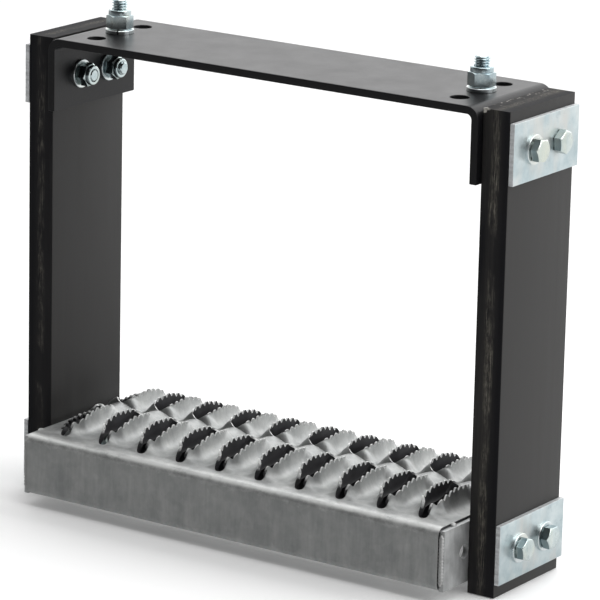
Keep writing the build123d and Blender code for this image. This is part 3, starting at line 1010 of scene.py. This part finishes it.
def strap_joint(side_name, side, level, body, washered, clockings):
    """The clamp plate and everything on its two bolts."""
    prefix = f"{side_name}_{level}"
    plate_low, plate_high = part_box(f"{prefix}_clamp_plate")
    nut_low, nut_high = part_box(f"{prefix}_nut_washers")
    rows, z = bolt_places(side_name, level)
    washer_radius = (nut_high.z - nut_low.z) / 2
    thickness = nut_high.x - nut_low.x
    plate_face = max(abs(plate_low.x), abs(plate_high.x))
    inner_face = max(abs(nut_low.x), abs(nut_high.x))
    plate = piece_from(f"{prefix}_plate", box_shape(plate_low, plate_high), plate_zinc)
    cut(plate, bolt_holes(side_name, level, (plate_low.x + plate_high.x) / 2, PLATE_CUT))
    soften(plate, PLATE_EDGE)
    finish_edges(plate, sheared_edge)
    stands_for(plate, body, f"{prefix}_clamp_plate")
    outward = Matrix.Rotation(math.radians(90 * side), 4, "Y")
    inward = Matrix.Rotation(math.radians(-90 * side), 4, "Y")
    flat_washer = washer(STRAP_WASHER_BORE, washer_radius, thickness)
    bolts, head_washers, nut_washers, nuts, inserts = [], [], [], [], []
    for y, has_washer, clocking in zip(rows, washered, clockings):
        turn = Matrix.Rotation(math.radians(clocking), 4, "Z")
        lift = thickness if has_washer else 0
        at_plate = Matrix.Translation((side * plate_face, y, z))
        at_head = Matrix.Translation((side * (plate_face + lift), y, z))
        at_nut = Matrix.Translation((side * inner_face, y, z)) @ inward
        on_washer = Matrix.Translation((0, 0, thickness))
        bolt = hex_bolt(STRAP_SIZE, STRAP_BOLT_LENGTH, STRAP_THREAD)
        bolts.append(placed(bolt, at_head @ inward @ turn))
        if has_washer:
            head_washers.append(placed(flat_washer, at_plate @ outward))
        nut_washers.append(placed(flat_washer, at_nut))
        nuts.append(placed(lock_nut(STRAP_SIZE), at_nut @ on_washer @ turn))
        inserts.append(placed(insert_ring(STRAP_SIZE), at_nut @ on_washer))
    # The flanks of the bolts and nuts take a darker zinc as painted shade.
    fitted(f"{prefix}_bolt_set", bolts, f"{prefix}_bolts", body, bolt_zinc, flank_zinc_painted_shade)
    for place, washers in (("head", head_washers), ("nut", nut_washers)):
        fitted(f"{prefix}_{place}_washer_set", washers, f"{prefix}_{place}_washers", body,
               washer_zinc)
    fitted(f"{prefix}_nut_set", nuts, f"{prefix}_lock_nuts", body, bolt_zinc, flank_zinc_painted_shade)
    fitted(f"{prefix}_insert_set", inserts, f"{prefix}_nylon_inserts", body, insert_nylon)


def mounting_hardware():
    """The two upright bolts with their split washers and lock nuts."""
    washer_low, washer_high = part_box("mounting_lock_washers")
    height = washer_high.z - washer_low.z
    radius = (washer_high.y - washer_low.y) / 2
    bolts, washers, nuts, inserts = [], [], [], []
    for x, clocking, split in UPRIGHTS:
        turn = Matrix.Rotation(math.radians(clocking), 4, "Z")
        below = Matrix.Translation((x, 0, -BRACKET_SHEET))
        seat = Matrix.Translation((x, 0, height))
        bolts.append(placed(hex_bolt(MOUNT_SIZE, MOUNT_BOLT_LENGTH, MOUNT_THREAD), below @ turn))
        ring = split_washer(MOUNT_WASHER_BORE, radius, height, SPLIT, math.radians(split))
        washers.append(placed(ring, Matrix.Translation((x, 0, 0))))
        nuts.append(placed(lock_nut(MOUNT_SIZE), seat @ turn))
        inserts.append(placed(insert_ring(MOUNT_SIZE), seat))
    fitted("mounting_bolt_set", bolts, "mounting_bolts", "bracket", upright_zinc)
    fitted("mounting_washer_set", washers, "mounting_lock_washers", "bracket", washer_zinc)
    fitted("mounting_nut_set", nuts, "mounting_nuts", "bracket", upright_zinc)
    fitted("mounting_insert_set", inserts, "mounting_nylon_inserts", "bracket", insert_nylon)


# ---- The step itself ----
mounting_bracket()
straps()
tread_plank()
ends_of_tread()
mounting_hardware()
for side_name, side in SIDES.items():
    lower_body = "tread" if side_name == "left" else "right_foot"
    strap_joint(side_name, side, "upper", "bracket", (True, False), UPPER_CLOCKINGS)
    strap_joint(side_name, side, "lower", lower_body, (True, True), LOWER_CLOCKINGS)

# ---- Floor, light and camera ----
WHITE = (1, 1, 1, 1)
FLOOR_DROP = 0.5 * MM
FLOOR_REACH = 12
FLOOR_GLOW = 0.12
# The floor's reflection and the room's light grow in one direction, from the first tone to the second
# between two places along it.
FLOOR_TOWARDS = (0.85, 0.52, 0.0)
FLOOR_FADE = (0.05, 0.25)
FLOOR_TONES = (0.38, 1.05)
ROOM_TOWARDS = (-0.10, 0.92, 0.38)
ROOM_FADE = (-0.3, 0.95)
ROOM_TONES = (0.03, 1.85)
BACKDROP = 1.05
LIGHT_AIM = Vector((0, 0, -0.15))
# Each light's place, the width of its square, and its power.
LIGHTS = {"right": ((2.0, 0.3, 0.9), 1.4, 14), "top": ((0.35, 0.15, 1.9), 1.8, 18)}
CAMERA_YAW = -34.11
CAMERA_PITCH = 15.04
CAMERA_ROLL = 1.273
CAMERA_LENS = 244.7
CAMERA_AIM = Vector((-0.8, -35.4, -152.7)) * MM
CAMERA_OFFSET = Vector((-26.7, 2410.9, -13.6)) * MM  # how far right, ahead and up that lies
CAMERA_CLIP = (0.05, 50)


def camera():
    roll = Matrix.Rotation(math.radians(CAMERA_ROLL), 3, "Y")
    pitch = Matrix.Rotation(math.radians(CAMERA_PITCH), 3, "X")
    turn = roll @ pitch @ Matrix.Rotation(math.radians(CAMERA_YAW), 3, "Z")
    right, ahead, up = turn
    eye = bpy.data.objects.new("camera", bpy.data.cameras.new("camera"))
    bpy.context.scene.collection.objects.link(eye)
    eye.data.lens = CAMERA_LENS
    eye.data.clip_start, eye.data.clip_end = CAMERA_CLIP
    facing = Matrix((right, up, -ahead)).transposed().to_4x4()
    eye.matrix_world = Matrix.Translation(CAMERA_AIM - turn.transposed() @ CAMERA_OFFSET) @ facing
    bpy.context.scene.camera = eye


def area_light(name, where, width, power):
    """A square soft box that faces the middle of the step."""
    light = bpy.data.lights.new(name, "AREA")
    light.shape = "RECTANGLE"
    light.size = light.size_y = width
    light.energy = power
    box = bpy.data.objects.new(name, light)
    box.location = where
    box.rotation_euler = (LIGHT_AIM - box.location).to_track_quat("-Z", "Y").to_euler()
    bpy.context.scene.collection.objects.link(box)


def floor():
    """A pale floor under the straps. Metal sees it bright at the back right and dim in front."""
    s = Surface("pale_floor")
    s.set(color=(0.90, 0.90, 0.90), roughness=0.9, specular=0.0)
    s.feed(s.shader.inputs["Emission Color"], WHITE)
    s.feed(s.shader.inputs["Emission Strength"], FLOOR_GLOW)
    glow = s.ramp(s.vector("DOT_PRODUCT", s.place, FLOOR_TOWARDS), *FLOOR_FADE, *FLOOR_TONES)
    reflected = s.add("ShaderNodeEmission", {"Color": WHITE, "Strength": glow}).outputs[0]
    mixed = s.mixed("Is Glossy Ray", s.shader.outputs[0], reflected)
    s.feed(s.tree.nodes["Material Output"].inputs["Surface"], mixed)
    corners = [Vector((x, y, cad_low.z - FLOOR_DROP))
               for x in (-FLOOR_REACH, FLOOR_REACH) for y in (-FLOOR_REACH, FLOOR_REACH)]
    piece_from("floor", (corners, [(0, 2, 3, 1)]), s.material)


def sky():
    """White where the camera sees it, and for everything else a room that is bright behind the step."""
    world = bpy.data.worlds.new("studio")
    n = Nodes(world)
    room = n.tree.nodes["Background"]
    place = n.add("ShaderNodeTexCoord").outputs["Generated"]
    strength = n.ramp(n.vector("DOT_PRODUCT", place, ROOM_TOWARDS), *ROOM_FADE, *ROOM_TONES)
    n.feed(room.inputs["Strength"], strength)
    n.feed(room.inputs["Color"], WHITE)
    white = n.add("ShaderNodeBackground", {"Color": WHITE, "Strength": BACKDROP}).outputs[0]
    n.feed(n.tree.nodes["World Output"].inputs["Surface"], n.mixed("Is Camera Ray", room.outputs[0], white))
    bpy.context.scene.world = world


camera()
floor()
sky()
for light_name, (where, width, power) in LIGHTS.items():
    area_light(light_name, where, width, power)
bpy.context.scene.view_settings.view_transform = "Standard"
